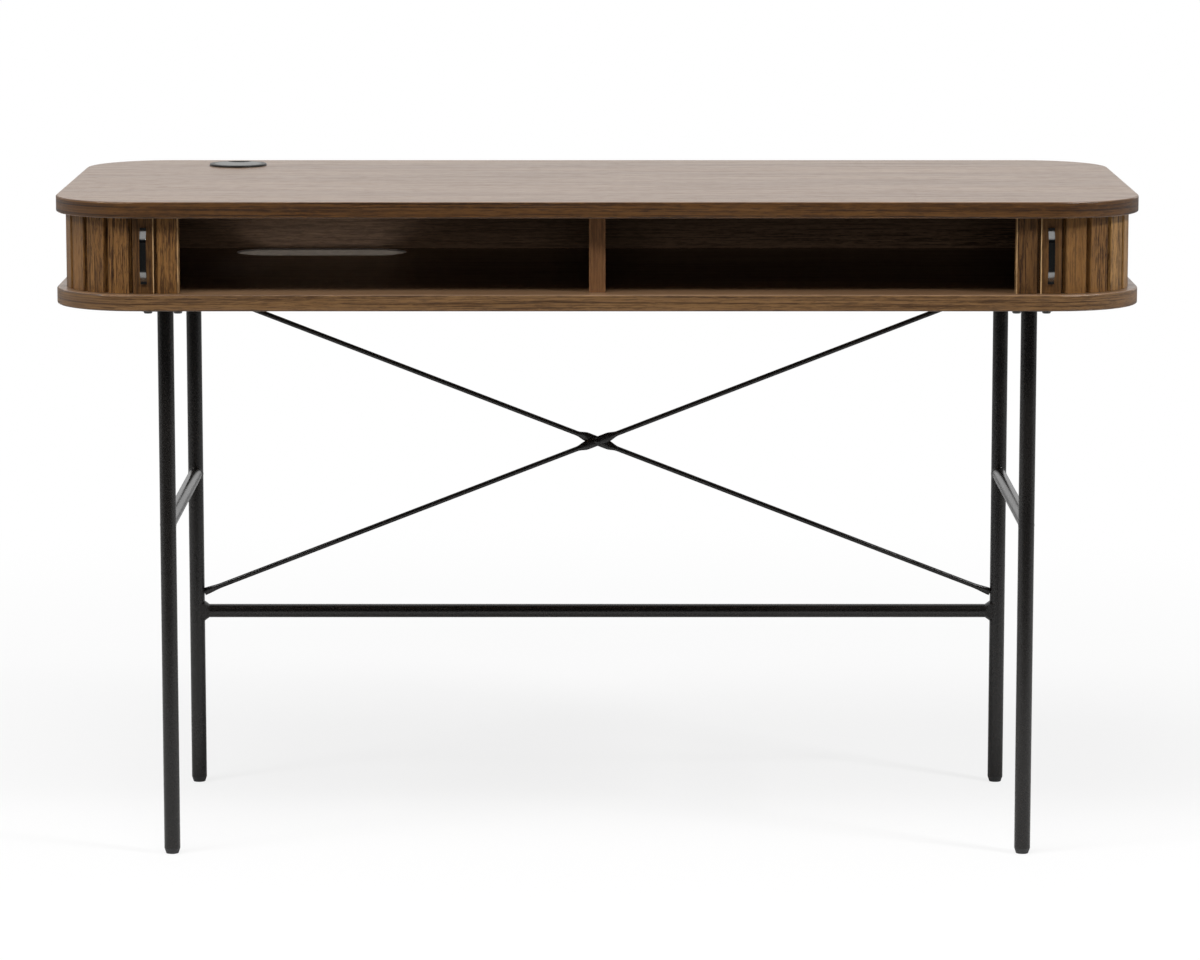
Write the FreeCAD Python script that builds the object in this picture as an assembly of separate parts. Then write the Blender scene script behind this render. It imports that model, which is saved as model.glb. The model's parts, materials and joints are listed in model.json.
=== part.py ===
import FreeCAD, Part
import math
import os

V = FreeCAD.Vector

# Tambour desk. Millimetres, +Z up, +X to the right, +Y to the back, origin on the floor under the middle.

# Case
WIDTH = 1200.0
DEPTH = 530.0
HEIGHT = 742.0
BOARD_T = 18.0
INNER_H = 84.0
CORNER_R = 96.0
EDGE_EASE = 1.5
PANEL_T = 16.0
DIVIDER_T = 18.0
DIVIDER_CLEAR = 3.7
BACK_T = 12.0
BACK_INSET = 37.5
CHEEK_PAST_ARC = 6.0
CHEEK_DEPTH = 257.5
DOWEL_R = 4.0
DOWEL_IN_BOARD = 10.0
DOWEL_IN_PANEL = 20.0
DOWEL_END = 50.0
BACK_DOWEL_X = 250.0

# Cable way
GROMMET_FROM_SIDE = 176.0
GROMMET_FROM_BACK = 73.0
GROMMET_BORE_R = 30.0
GROMMET_FLANGE_R = 33.5
GROMMET_FLANGE_T = 2.5
GROMMET_WALL = 2.0
GROMMET_LEDGE = 2.5
GROMMET_LEDGE_T = 2.0
LID_T = 2.0
LID_NOTCH_W = 29.0
LID_NOTCH_D = 14.0
SLOT_FROM_SIDE = 274.0
SLOT_FROM_PANEL = 3.5
SLOT_L = 200.0
SLOT_W = 78.0

# Legs
LEG_FROM_SIDE = 121.4
LEG_FROM_FRONT = 72.3
LEG_R = 9.0
LEG_WALL = 1.5
FOOT_H = 6.0
FOOT_TIP_R = 7.0
FOOT_SPIGOT_H = 16.0
PLATE_X = 50.0
PLATE_Y = 80.0
PLATE_T = 4.0
PLATE_CORNER_R = 8.0
BOLT_DX = 16.5
BOLT_DY = 30.0
BOLT_R = 2.5
BOLT_HEAD_R = 4.75
BOLT_HEAD_H = 3.0
BOLT_L = 15.0
INSERT_R = 4.0
INSERT_L = 12.0
RAIL_R = 8.0
RAIL_DROP = 248.0
STRETCHER_R = 8.0
STRETCHER_WALL = 1.5
STRETCHER_Z = 208.0
FERRULE_L = 11.0
FERRULE_FLARE = 4.0
FERRULE_FLARE_L = 5.5
SPIGOT_L = 30.0
PIN_R = 2.0
BRACE_R = 3.0
BRACE_ABOVE_STRETCHER = 23.0
BRACE_DROP = 27.0
BRACE_FLAT_T = 3.0
BRACE_FLAT_W = 11.0
BRACE_FLAT_L = 52.0
BRACE_TAB_W = 9.0
BRACE_TAB_L = 22.0
RIVET_R = 2.5
RIVET_HEAD_R = 4.0
RIVET_HEAD_H = 1.5

# Sliding curtain
CURTAIN_INSET = 10.5
SLAT_T = 10.0
SLAT_PITCH = 25.9
SLAT_GAP = 2.2
LEAD_GAP = 4.0
SLAT_ROOT_GAP = 0.6
SLAT_ROOT_T = 3.5
SLAT_EASE = 0.9
SINGLE_FIRST = 3
SINGLE_LAST = 7
SECOND_PAST_ARC = 5.4
CANVAS_T = 0.8
CANVAS_GAP = 1.2
HANDLE_W = 7.0
HANDLE_H = 62.0
HANDLE_T = 2.0
HANDLE_FOOT = 6.0
HANDLE_RAMP = 9.0
HANDLE_OUT = 9.0
HANDLE_PITCH = 56.0
HANDLE_SCREW_R = 1.5
HANDLE_SCREW_HEAD_R = 2.75
HANDLE_SCREW_HEAD_H = 1.6
HANDLE_SCREW_IN = 1.2

# Fits
SLIDE_FIT = 0.3
TURN_FIT = 0.3
PUSH_FIT = 0.1

# Heights and places that follow
TOP_Z = HEIGHT - BOARD_T
FLOOR_Z = TOP_Z - INNER_H
UNDER_Z = FLOOR_Z - BOARD_T
PLATE_Z = UNDER_Z - PLATE_T
HINGE_INSET = CURTAIN_INSET + SLAT_T
HINGE_R = CORNER_R - HINGE_INSET
ARC_X = WIDTH / 2 - CORNER_R
ARC_Y = DEPTH / 2 - CORNER_R
HINGE_Y = -DEPTH / 2 + HINGE_INSET
SLAT_H = INNER_H - 2 * SLIDE_FIT
SLAT_Z = FLOOR_Z + SLIDE_FIT
HANDLE_Z = FLOOR_Z + INNER_H / 2
LEAD_X = ARC_X + SECOND_PAST_ARC - 2 * SLAT_PITCH
TRACK_L = math.pi * HINGE_R + 2 * ARC_Y - SECOND_PAST_ARC
SLAT_COUNT = SINGLE_FIRST - 1 + round(TRACK_L / SLAT_PITCH)
BACK_Y = DEPTH / 2 - BACK_INSET
CHEEK_X = ARC_X + CHEEK_PAST_ARC
CHEEK_FRONT = BACK_Y - CHEEK_DEPTH
DIVIDER_FRONT = HINGE_Y + CANVAS_T + DIVIDER_CLEAR
GROMMET_X = GROMMET_FROM_SIDE - WIDTH / 2
GROMMET_Y = DEPTH / 2 - GROMMET_FROM_BACK
SLOT_X = SLOT_FROM_SIDE - WIDTH / 2
SLOT_Y = BACK_Y - SLOT_FROM_PANEL - SLOT_W / 2
LEG_X = WIDTH / 2 - LEG_FROM_SIDE
LEG_Y = DEPTH / 2 - LEG_FROM_FRONT
RAIL_Z = UNDER_Z - RAIL_DROP
BRACE_LOW_Z = STRETCHER_Z + BRACE_ABOVE_STRETCHER
BRACE_HIGH_Z = UNDER_Z - BRACE_DROP

os.makedirs("parts", exist_ok=True)


def save(name, shapes):
    shape = shapes[0] if len(shapes) == 1 else Part.makeCompound(shapes)
    shape.exportStep("parts/" + name + ".step")


def box(x0, x1, y0, y1, z0, z1):
    return Part.makeBox(x1 - x0, y1 - y0, z1 - z0, V(x0, y0, z0))


def rod(x, y, z, r, length, axis):
    return Part.makeCylinder(r, length, V(x, y, z), axis)


def prism(points, z0, height):
    wire = Part.makePolygon([V(x, y, z0) for x, y in points] + [V(points[0][0], points[0][1], z0)])
    return Part.Face(wire).extrude(V(0, 0, height))


def upright_edges(shape, height):
    return [e for e in shape.Edges if abs(e.BoundBox.ZLength - height) < 0.01 and e.BoundBox.XLength < 0.01]


def rounded_board(z0):
    board = box(-WIDTH / 2, WIDTH / 2, -DEPTH / 2, DEPTH / 2, z0, z0 + BOARD_T)
    board = board.makeFillet(CORNER_R, upright_edges(board, BOARD_T))
    rims = [e for e in board.Edges if e.BoundBox.ZLength < 0.01]
    return board.makeFillet(EDGE_EASE, rims)


def stadium(x, y, length, width, z0, height):
    r = width / 2
    half = length / 2 - r
    body = box(x - half, x + half, y - r, y + r, z0, z0 + height)
    for side in (-1, 1):
        body = body.fuse(rod(x + side * half, y, z0, r, height, V(0, 0, 1)))
    return body.removeSplitter()


def mirrored(shape):
    return shape.mirror(V(0, 0, 0), V(1, 0, 0))


# Dowels between the upright panels and the two boards
dowel_spots = []
for y in (DIVIDER_FRONT + DOWEL_END, BACK_Y - DOWEL_END):
    dowel_spots.append((0.0, y))
for side in (-1, 1):
    for y in (CHEEK_FRONT + DOWEL_END, BACK_Y - DOWEL_END):
        dowel_spots.append((side * (CHEEK_X + PANEL_T / 2), y))
for x in (-BACK_DOWEL_X, BACK_DOWEL_X):
    dowel_spots.append((x, BACK_Y + BACK_T / 2))
dowel_len = DOWEL_IN_BOARD + DOWEL_IN_PANEL
dowels = []
dowel_holes = []
for x, y in dowel_spots:
    for z in (FLOOR_Z - DOWEL_IN_BOARD, TOP_Z - DOWEL_IN_PANEL):
        dowels.append(rod(x, y, z, DOWEL_R, dowel_len, V(0, 0, 1)))
        dowel_holes.append(rod(x, y, z, DOWEL_R + PUSH_FIT, dowel_len, V(0, 0, 1)))
save("panel_dowels", dowels)

# Bolt places of the four leg plates
leg_spots = []
for y_side, y_name in ((-1, "front"), (1, "rear")):
    for x_side, x_name in ((-1, "left"), (1, "right")):
        leg_spots.append((x_side * LEG_X, y_side * LEG_Y, y_name + "_" + x_name))
bolt_spots = []
for x, y, name in leg_spots:
    for dx in (-BOLT_DX, BOLT_DX):
        for dy in (-BOLT_DY, BOLT_DY):
            bolt_spots.append((x + dx, y + dy))

# Top board with the bore of the cable grommet
top = rounded_board(TOP_Z)
top = top.cut(rod(GROMMET_X, GROMMET_Y, TOP_Z - 1, GROMMET_BORE_R + PUSH_FIT, BOARD_T + 2, V(0, 0, 1)))
top = top.cut(Part.makeCompound(dowel_holes))
save("top_board", [top])

# Bottom board with the cable slot and the blind holes of the threaded inserts
bottom = rounded_board(UNDER_Z)
bottom = bottom.cut(stadium(SLOT_X, SLOT_Y, SLOT_L, SLOT_W, UNDER_Z - 1, BOARD_T + 2))
insert_holes = [rod(x, y, UNDER_Z - 1, INSERT_R + PUSH_FIT, INSERT_L + 1, V(0, 0, 1)) for x, y in bolt_spots]
bottom = bottom.cut(Part.makeCompound(dowel_holes + insert_holes))
save("bottom_board", [bottom])

# Upright panels between the boards
panel_ends = CHEEK_X + PANEL_T
back = box(-panel_ends, panel_ends, BACK_Y, BACK_Y + BACK_T, FLOOR_Z, TOP_Z)
divider = box(-DIVIDER_T / 2, DIVIDER_T / 2, DIVIDER_FRONT, BACK_Y, FLOOR_Z, TOP_Z)
cheek = box(CHEEK_X, CHEEK_X + PANEL_T, CHEEK_FRONT, BACK_Y, FLOOR_Z, TOP_Z)
holes = Part.makeCompound(dowel_holes)
save("back_panel", [back.cut(holes)])
save("centre_divider", [divider.cut(holes)])
save("right_cheek", [cheek.cut(holes)])
save("left_cheek", [mirrored(cheek).cut(holes)])

# Cable grommet: flanged ring with an inner ledge, and a notched lid that turns in it
sleeve_r = GROMMET_BORE_R - GROMMET_WALL
lid_z = HEIGHT + GROMMET_FLANGE_T - LID_T
up = V(0, 0, 1)
ring = rod(GROMMET_X, GROMMET_Y, TOP_Z, GROMMET_BORE_R, BOARD_T, up)
ring = ring.fuse(rod(GROMMET_X, GROMMET_Y, HEIGHT, GROMMET_FLANGE_R, GROMMET_FLANGE_T, up))
ring = ring.removeSplitter()
flange_z = HEIGHT + GROMMET_FLANGE_T
brim = [e for e in ring.Edges if e.BoundBox.ZMin > flange_z - 0.01]
ring = ring.makeFillet(1.0, brim)
ring = ring.cut(rod(GROMMET_X, GROMMET_Y, lid_z, sleeve_r, 10, up))
ring = ring.cut(rod(GROMMET_X, GROMMET_Y, TOP_Z - 1, sleeve_r - GROMMET_LEDGE, BOARD_T + 10, up))
ring = ring.cut(rod(GROMMET_X, GROMMET_Y, TOP_Z - 1, sleeve_r, lid_z - GROMMET_LEDGE_T - TOP_Z + 1, up))
save("grommet_ring", [ring])
lid = rod(GROMMET_X, GROMMET_Y, lid_z, sleeve_r - TURN_FIT, LID_T, up)
notch_y = GROMMET_Y + sleeve_r - LID_NOTCH_D
notch = rod(GROMMET_X, notch_y + LID_NOTCH_W / 2, lid_z - 1, LID_NOTCH_W / 2, LID_T + 2, up)
lid = lid.cut(notch)
save("grommet_lid", [lid])

# Legs, feet, plates and their bolts
plates = []
feet = []
for x, y, name in leg_spots:
    tube = rod(x, y, FOOT_H, LEG_R, PLATE_Z - FOOT_H, up)
    tube = tube.cut(rod(x, y, FOOT_H - 1, LEG_R - LEG_WALL, PLATE_Z - FOOT_H + 2, up))
    save(name + "_leg", [tube])
    foot = Part.makeCone(FOOT_TIP_R, LEG_R, FOOT_H, V(x, y, 0), up)
    foot = foot.fuse(rod(x, y, FOOT_H, LEG_R - LEG_WALL - PUSH_FIT, FOOT_SPIGOT_H, up))
    feet.append(foot.removeSplitter())
    plate = box(x - PLATE_X / 2, x + PLATE_X / 2, y - PLATE_Y / 2, y + PLATE_Y / 2, PLATE_Z, UNDER_Z)
    plates.append(plate.makeFillet(PLATE_CORNER_R, upright_edges(plate, PLATE_T)))
bolt_holes = [rod(x, y, PLATE_Z - 1, BOLT_R + SLIDE_FIT, PLATE_T + 2, up) for x, y in bolt_spots]
plates = [p.cut(Part.makeCompound(bolt_holes)) for p in plates]
save("leg_plates", plates)
save("foot_plugs", feet)
bolts = []
inserts = []
for x, y in bolt_spots:
    head = rod(x, y, PLATE_Z - BOLT_HEAD_H, BOLT_HEAD_R, BOLT_HEAD_H, up)
    head = head.makeFillet(1.2, [e for e in head.Edges if e.BoundBox.ZMax < PLATE_Z - BOLT_HEAD_H + 0.01])
    bolts.append(head.fuse(rod(x, y, PLATE_Z, BOLT_R, BOLT_L, up)).removeSplitter())
    insert = rod(x, y, UNDER_Z, INSERT_R, INSERT_L, up)
    inserts.append(insert.cut(rod(x, y, UNDER_Z - 1, BOLT_R + PUSH_FIT, INSERT_L + 2, up)))
save("plate_bolts", bolts)
save("threaded_inserts", inserts)

# Side rails coped to the legs
back_way = V(0, 1, 0)
for side, name in ((-1, "left"), (1, "right")):
    x = side * LEG_X
    rail = rod(x, -LEG_Y, RAIL_Z, RAIL_R, 2 * LEG_Y, back_way)
    for y in (-LEG_Y, LEG_Y):
        rail = rail.cut(rod(x, y, 0, LEG_R, UNDER_Z, up))
    save(name + "_side_rail", [rail])

# Rear stretcher: flared ferrules on the legs, each with a spigot inside the tube, and locking pins
right_way = V(1, 0, 0)
ferrule_end = LEG_X - LEG_R - FERRULE_L
stretcher = rod(-ferrule_end, LEG_Y, STRETCHER_Z, STRETCHER_R, 2 * ferrule_end, right_way)
bore_r = STRETCHER_R - STRETCHER_WALL
stretcher = stretcher.cut(rod(-LEG_X, LEG_Y, STRETCHER_Z, bore_r, 2 * LEG_X, right_way))
leg_core = rod(LEG_X, LEG_Y, 0, LEG_R, UNDER_Z, up)
ferrule = rod(ferrule_end, LEG_Y, STRETCHER_Z, STRETCHER_R, FERRULE_L + LEG_R, right_way)
flare_end = LEG_X - LEG_R
flare_from = V(flare_end - FERRULE_FLARE_L, LEG_Y, STRETCHER_Z)
flare_r = STRETCHER_R + FERRULE_FLARE
flare = Part.makeCone(STRETCHER_R, flare_r, FERRULE_FLARE_L, flare_from, right_way)
flare = flare.fuse(rod(flare_end, LEG_Y, STRETCHER_Z, flare_r, LEG_R, right_way))
flare = flare.common(box(0, LEG_X, LEG_Y - STRETCHER_R, LEG_Y + STRETCHER_R, 0, TOP_Z))
spigot = rod(ferrule_end - SPIGOT_L, LEG_Y, STRETCHER_Z, bore_r - PUSH_FIT, SPIGOT_L, right_way)
ferrule = ferrule.fuse(flare).fuse(spigot).cut(leg_core).removeSplitter()
pin_x = ferrule_end - SPIGOT_L / 2
pin_z = STRETCHER_Z - STRETCHER_R
pin_hole = rod(pin_x, LEG_Y, pin_z - 5, PIN_R + PUSH_FIT, STRETCHER_R + 5, up)
pin = rod(pin_x, LEG_Y, pin_z, PIN_R, STRETCHER_R, up)
pin = pin.common(rod(-LEG_X, LEG_Y, STRETCHER_Z, STRETCHER_R, 2 * LEG_X, right_way))
ferrule = ferrule.cut(pin_hole)
stretcher = stretcher.cut(pin_hole).cut(mirrored(pin_hole))
save("rear_stretcher", [stretcher])
save("stretcher_ferrules", [ferrule, mirrored(ferrule)])
save("stretcher_pins", [pin, mirrored(pin)])

# Crossed brace rods in the plane of the rear legs, flattened where they cross and where they meet the legs
leg_face = LEG_X - LEG_R
run = math.hypot(2 * leg_face, BRACE_HIGH_Z - BRACE_LOW_Z)
tilt = math.degrees(math.atan2(BRACE_HIGH_Z - BRACE_LOW_Z, 2 * leg_face))
mid_z = (BRACE_HIGH_Z + BRACE_LOW_Z) / 2
rivet_l = 2 * BRACE_FLAT_T


def lens(length, width, y0, y1):
    radius = (length * length / 4 + width * width / 4) / width
    shift = radius - width / 2
    disc_a = rod(0, y0, shift, radius, y1 - y0, back_way)
    disc_b = rod(0, y0, -shift, radius, y1 - y0, back_way)
    return disc_a.common(disc_b)


def brace(face):
    # face -1 lies in front at the crossing, face 1 behind it
    y0 = min(0, face * BRACE_FLAT_T)
    half = run / 2
    body = rod(-half - LEG_R, 0, 0, BRACE_R, run + 2 * LEG_R, right_way)
    middle = box(-BRACE_FLAT_L / 2 + 8, BRACE_FLAT_L / 2 - 8, -20, 20, -20, 20)
    body = body.cut(middle)
    body = body.fuse(lens(BRACE_FLAT_L, BRACE_FLAT_W, y0, y0 + BRACE_FLAT_T))
    for end in (-1, 1):
        tab = lens(2 * BRACE_TAB_L, BRACE_TAB_W, -BRACE_FLAT_T / 2, BRACE_FLAT_T / 2)
        tab.translate(V(end * half, 0, 0))
        body = body.fuse(tab)
    body = body.cut(rod(0, -10, 0, RIVET_R + PUSH_FIT, 20, back_way))
    body.rotate(V(0, 0, 0), V(0, 1, 0), face * tilt)
    body.translate(V(0, LEG_Y, mid_z))
    for side in (-1, 1):
        body = body.cut(rod(side * LEG_X, LEG_Y, 0, LEG_R, UNDER_Z, up))
    body = body.common(box(-LEG_X, LEG_X, LEG_Y - 20, LEG_Y + 20, 0, UNDER_Z))
    return body.removeSplitter()


save("brace_rod_falling", [brace(1)])
save("brace_rod_rising", [brace(-1)])
rivet = rod(0, LEG_Y - BRACE_FLAT_T, mid_z, RIVET_R, rivet_l, back_way)
rivet = rivet.fuse(rod(0, LEG_Y - BRACE_FLAT_T - RIVET_HEAD_H, mid_z, RIVET_HEAD_R, RIVET_HEAD_H, back_way))
rivet = rivet.fuse(rod(0, LEG_Y + BRACE_FLAT_T, mid_z, RIVET_HEAD_R, RIVET_HEAD_H, back_way))
save("brace_rivet", [rivet.removeSplitter()])


# Hinge lines of the right curtain, walked in equal chords along its track
def on_track(s):
    arc = HINGE_R * math.pi / 2
    if s <= arc:
        a = s / HINGE_R
        return V(ARC_X + HINGE_R * math.sin(a), -ARC_Y - HINGE_R * math.cos(a), 0)
    s = s - arc
    if s <= 2 * ARC_Y:
        return V(ARC_X + HINGE_R, -ARC_Y + s, 0)
    a = (s - 2 * ARC_Y) / HINGE_R
    return V(ARC_X + HINGE_R * math.cos(a), ARC_Y + HINGE_R * math.sin(a), 0)


hinges = [V(LEAD_X + k * SLAT_PITCH, HINGE_Y, 0) for k in range(SINGLE_FIRST)]
station = hinges[-1].x - ARC_X
for k in range(SINGLE_FIRST, SLAT_COUNT + 1):
    low = station + 0.9 * SLAT_PITCH
    high = station + 1.2 * SLAT_PITCH
    for step in range(60):
        trial = (low + high) / 2
        if on_track(trial).sub(hinges[-1]).Length < SLAT_PITCH:
            low = trial
        else:
            high = trial
    station = low
    hinges.append(on_track(station))


def place(shape, k):
    # carries a slat drawn from the hinge point outwards along +X, with its face to -Y, to slat k
    a = hinges[k - 1]
    d = hinges[k].sub(a)
    shape.rotate(V(0, 0, 0), V(0, 0, 1), math.degrees(math.atan2(d.y, d.x)))
    shape.translate(V(a.x, a.y, 0))
    return shape


def slat(k):
    r = SLAT_ROOT_GAP / 2
    near = LEAD_GAP / 2 if k == 2 else SLAT_GAP / 2
    far = LEAD_GAP / 2 if k == 1 else SLAT_GAP / 2
    p = SLAT_PITCH
    e = SLAT_EASE
    t = SLAT_T
    outline = [(r, 0), (p - r, 0), (p - r, -SLAT_ROOT_T), (p - far, -SLAT_ROOT_T), (p - far, -t + e)]
    outline = outline + [(p - far - e, -t), (near + e, -t), (near, -t + e), (near, -SLAT_ROOT_T)]
    outline = outline + [(r, -SLAT_ROOT_T)]
    return place(prism(outline, SLAT_Z, SLAT_H), k)


def canvas(k, first_gap, last_gap):
    strip = box(first_gap, SLAT_PITCH - last_gap, 0, CANVAS_T, SLAT_Z, SLAT_Z + SLAT_H)
    return place(strip, k)


# Handle: a bent strap on the second slat, its feet flat on the face
handle_x = LEAD_X + 1.5 * SLAT_PITCH
face_y = HINGE_Y - SLAT_T
half_h = HANDLE_H / 2
z_foot = half_h - HANDLE_FOOT
z_grip = z_foot - HANDLE_RAMP
outer = [(0, -half_h), (-HANDLE_T, -half_h), (-HANDLE_T, -z_foot), (-HANDLE_OUT, -z_grip)]
outer = outer + [(-HANDLE_OUT, z_grip), (-HANDLE_T, z_foot), (-HANDLE_T, half_h), (0, half_h)]
behind = HANDLE_T - HANDLE_OUT
inner = [(0, z_foot - 1), (behind, z_grip - 1), (behind, 1 - z_grip), (0, 1 - z_foot)]
loop = [V(handle_x - HANDLE_W / 2, face_y + y, HANDLE_Z + z) for y, z in outer + inner]
handle = Part.Face(Part.makePolygon(loop + [loop[0]])).extrude(V(HANDLE_W, 0, 0))
screws = []
screw_holes = []
shank_l = SLAT_T - HANDLE_SCREW_HEAD_H + HANDLE_SCREW_IN
for side in (-1, 1):
    z = HANDLE_Z + side * HANDLE_PITCH / 2
    tip_y = face_y - HANDLE_SCREW_IN
    head_y = HINGE_Y - HANDLE_SCREW_HEAD_H
    shank = rod(handle_x, tip_y, z, HANDLE_SCREW_R, shank_l, back_way)
    head = rod(handle_x, head_y, z, HANDLE_SCREW_HEAD_R, HANDLE_SCREW_HEAD_H, back_way)
    screws.append(shank.fuse(head).removeSplitter())
    hole = rod(handle_x, tip_y, z, HANDLE_SCREW_R + PUSH_FIT, SLAT_T + HANDLE_SCREW_IN, back_way)
    sink = rod(handle_x, head_y, z, HANDLE_SCREW_HEAD_R + PUSH_FIT, HANDLE_SCREW_HEAD_H, back_way)
    screw_holes.append(hole)
    screw_holes.append(sink)
screw_cut = Part.makeCompound(screw_holes)
handle = handle.cut(screw_cut)

# Curtain pieces of the right door, then the same mirrored for the left door
half_gap = CANVAS_GAP / 2
pieces = {}
pieces["lead_slat"] = [slat(1)]
pieces["handle_slat"] = [slat(2).cut(screw_cut)]
pieces["lead_canvas"] = [canvas(1, half_gap, 0).fuse(canvas(2, 0, half_gap)).removeSplitter()]
pieces["handle"] = [handle]
pieces["handle_screws"] = screws
for k in range(SINGLE_FIRST, SINGLE_LAST + 1):
    pieces["slat_%02d" % k] = [slat(k), canvas(k, half_gap, half_gap)]
tail = range(SINGLE_LAST + 1, SLAT_COUNT + 1)
pieces["tail_slats"] = [slat(k) for k in tail]
pieces["tail_canvas"] = [canvas(k, half_gap, half_gap) for k in tail]
for name in pieces:
    save("right_" + name, pieces[name])
    save("left_" + name, [mirrored(s) for s in pieces[name]])
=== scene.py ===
# %% Load the desk's frame
import json
import math
import bpy
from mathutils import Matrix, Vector


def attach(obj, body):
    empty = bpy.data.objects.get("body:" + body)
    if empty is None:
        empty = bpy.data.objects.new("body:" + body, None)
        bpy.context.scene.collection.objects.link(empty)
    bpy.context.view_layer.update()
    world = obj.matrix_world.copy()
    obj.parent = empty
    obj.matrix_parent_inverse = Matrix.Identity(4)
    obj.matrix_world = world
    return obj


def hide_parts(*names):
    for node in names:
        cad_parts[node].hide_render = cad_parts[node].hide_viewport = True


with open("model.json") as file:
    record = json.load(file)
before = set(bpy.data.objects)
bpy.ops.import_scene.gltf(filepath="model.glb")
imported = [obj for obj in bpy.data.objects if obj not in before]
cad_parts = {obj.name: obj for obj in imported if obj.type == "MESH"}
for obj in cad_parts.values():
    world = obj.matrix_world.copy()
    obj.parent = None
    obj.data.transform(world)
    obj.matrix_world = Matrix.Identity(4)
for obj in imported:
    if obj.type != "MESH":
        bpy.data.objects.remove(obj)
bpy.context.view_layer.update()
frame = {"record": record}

# %% [markdown]
# # A tambour desk
# The desk is a walnut box on slim black legs. Its boards, slats, tubes and panels come from the
# CAD frame in their final shape, so they only need finishes. A few small metal pieces are softer
# than the CAD shows: the bow handles, the flattened brace rods, the rivet, the bolt heads and the
# weld beads. Those are modelled below with Blender's own tools, at the CAD's sizes. An operator
# works on whatever is selected, so the first helpers choose one piece. All lengths are metres.

# %% Choosing a piece and finishing it
MM = 0.001


def clear_selection():
    if bpy.context.object and bpy.context.object.mode != "OBJECT":
        bpy.ops.object.mode_set(mode="OBJECT")
    bpy.ops.object.select_all(action="DESELECT")


def choose(piece):
    clear_selection()
    piece.select_set(True)
    bpy.context.view_layer.objects.active = piece


def settle(piece):
    # puts the place and turn of a finished piece into its mesh
    choose(piece)
    bpy.ops.object.transform_apply(location=True, rotation=True, scale=True)


def apply_modifiers(piece):
    choose(piece)
    for modifier in list(piece.modifiers):
        bpy.ops.object.modifier_apply(modifier=modifier.name)


def smooth(piece, angle):
    choose(piece)
    bpy.ops.object.shade_smooth_by_angle(angle=math.radians(angle))


print("selected after loading:", len(bpy.context.selected_objects))

# %% [markdown]
# In edit mode a person clicks the edge or face to work on. A script has no mouse, so the next
# helper clicks for it: it tests the middle of every edge or face and selects those that pass.

# %% Picking edges and faces by their place
PICK_GAP = 0.01 * MM
PICK_MODE = {"edges": "EDGE", "polygons": "FACE"}


def pick(piece, kind, test):
    bpy.ops.object.mode_set(mode="EDIT")
    bpy.ops.mesh.select_mode(type=PICK_MODE[kind])
    bpy.ops.mesh.select_all(action="DESELECT")
    bpy.ops.object.mode_set(mode="OBJECT")
    mesh = piece.data
    for part in getattr(mesh, kind):
        if kind == "edges":
            start, end = [mesh.vertices[v].co for v in part.vertices]
            middle = (start + end) / 2
        else:
            middle = part.center
        part.select = bool(test(middle))
    bpy.ops.object.mode_set(mode="EDIT")


print("picks within", PICK_GAP, "m")

# %% [markdown]
# ## Bow handles
# Each door has a narrow steel strap bent into a low bow. It could be a curve with a flat profile,
# but a real one is cut from strip and pressed. So a short strip is drawn as one plane, and its end
# edge is extruded along the bow in half-millimetre steps. Solidify gives the strip its thickness,
# and a bevel takes the sharpness off, as the tumbling drum does at the factory.

# %% The bow's side view
BOW_REACH = 7 * MM
BOW_FOOT = 27.4 * MM
BOW_FLAT = 17.2 * MM
GRIP_ROUND = 1.8 * MM
FOOT_ROUND = 0.4 * MM
BEND_SAMPLES = 4


def bow_height(z):
    # a straight ramp from foot to grip, averaged over a short stretch so that both bends are round
    near_grip = abs(z) < (BOW_FOOT + BOW_FLAT) / 2
    bend = GRIP_ROUND if near_grip else FOOT_ROUND
    total = 0
    for k in range(-BEND_SAMPLES, BEND_SAMPLES + 1):
        t = (BOW_FOOT - abs(z + k * bend / BEND_SAMPLES)) / (BOW_FOOT - BOW_FLAT)
        total += min(max(t, 0), 1)
    return BOW_REACH * total / (2 * BEND_SAMPLES + 1)


ramp_slope = math.degrees(math.atan2(BOW_REACH, BOW_FOOT - BOW_FLAT))
print("ramp of the bow:", round(ramp_slope, 1), "degrees")

# %% Bow handles
SLAT_FACE_Y = -254.5 * MM
HANDLE_X = 496.45 * MM
HANDLE_Z = 682 * MM
HANDLE_W = 7 * MM
HANDLE_HALF = 31 * MM
HANDLE_T = 2 * MM
HANDLE_EASE = 0.5 * MM
EASE_ANGLE = 50
BOW_STEPS = 124


def bow_strip(name):
    step = 2 * HANDLE_HALF / BOW_STEPS
    clear_selection()
    bpy.ops.mesh.primitive_plane_add(size=1, rotation=(math.pi / 2, 0, 0))
    strap = bpy.context.object
    strap.name = name
    strap.scale = (HANDLE_W, step, 1)
    strap.location = (0, 0, -HANDLE_HALF + step / 2)
    settle(strap)
    z = -HANDLE_HALF + step
    pick(strap, "edges", lambda m: m.z > z - PICK_GAP)
    for _ in range(1, BOW_STEPS):
        rise = bow_height(z + step) - bow_height(z)
        bpy.ops.mesh.extrude_region_move(TRANSFORM_OT_translate={"value": (0, -rise, step)})
        z += step
    bpy.ops.object.mode_set(mode="OBJECT")
    return strap


def bow_handle(hand, side):
    strap = bow_strip(hand + "_bow_handle")
    wall = strap.modifiers.new("strip thickness", "SOLIDIFY")
    wall.thickness = HANDLE_T
    wall.offset = 1
    ease = strap.modifiers.new("eased edge", "BEVEL")
    ease.width = HANDLE_EASE
    ease.segments = 3
    ease.limit_method = "ANGLE"
    ease.angle_limit = math.radians(EASE_ANGLE)
    apply_modifiers(strap)
    strap.location = (side * HANDLE_X, SLAT_FACE_Y, HANDLE_Z)
    settle(strap)
    smooth(strap, 40)
    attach(strap, hand + "_lead")
    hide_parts(hand + "_handle")
    return strap


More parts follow.
